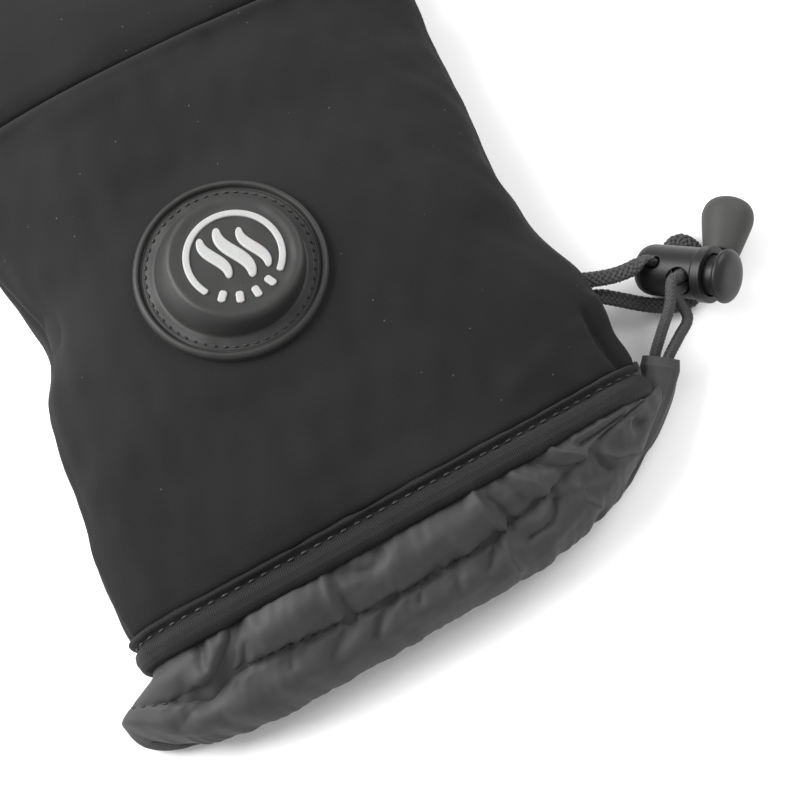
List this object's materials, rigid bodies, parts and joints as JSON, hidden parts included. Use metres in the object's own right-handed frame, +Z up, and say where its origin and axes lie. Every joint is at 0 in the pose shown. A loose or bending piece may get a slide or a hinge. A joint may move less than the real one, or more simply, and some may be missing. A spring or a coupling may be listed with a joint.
{
  "type": "heated winter glove",
  "caption": "Padded softshell winter glove with a heat button on its long cuff, a gathered storm cuff at the hem and a sprung cord lock on its drawcord.",
  "frame": {"origin": "on the table, under the middle of the glove", "axes": "+Y towards the fingertips, -X towards the thumb side, +Z up from the palm to the back of the hand"},
  "size_m": [0.2086, 0.2914, 0.0446],
  "materials": {
    "softshell": "matt fleece-backed softshell, finely brushed",
    "binding": "ribbed elastic with a stitched groove",
    "nylon": "thin nylon with a soft sheen",
    "silicone": "satin moulded silicone",
    "inlay": "white, slightly translucent",
    "plastic": "satin moulded plastic",
    "steel": "spring wire",
    "rubber": "soft matt rubber",
    "cord": "woven braid"
  },
  "bodies": {
    "glove": {"gauntlet_shell": "softshell", "hem_binding": "binding", "storm_cuff": "nylon", "hand_shell": "softshell", "thumb": "softshell", "index_finger": "softshell", "middle_finger": "softshell", "ring_finger": "softshell", "little_finger": "softshell", "button_cover": "silicone", "icon_ring": "inlay", "heat_wave_left": "inlay", "heat_wave_middle": "inlay", "heat_wave_right": "inlay", "level_mark_1": "inlay", "level_mark_2": "inlay", "level_mark_3": "inlay", "level_mark_4": "inlay", "lock_barrel": "plastic", "lock_spring": "steel", "cord_end_bell": "rubber", "anchor_braid": "cord", "drawcord_front": "cord", "drawcord_back": "cord"},
    "plunger": {"lock_plunger": "plastic"}
  },
  "joints": [
    {"name": "plunger_press", "type": "slide", "parent": "glove", "child": "plunger", "axis": [-0.4636, 0.6873, -0.5592], "range_m": [0, 0.0025], "stiffness_N_per_m": 500, "springref_m": -0.003, "deforming": ["lock_spring"]}
  ]
}
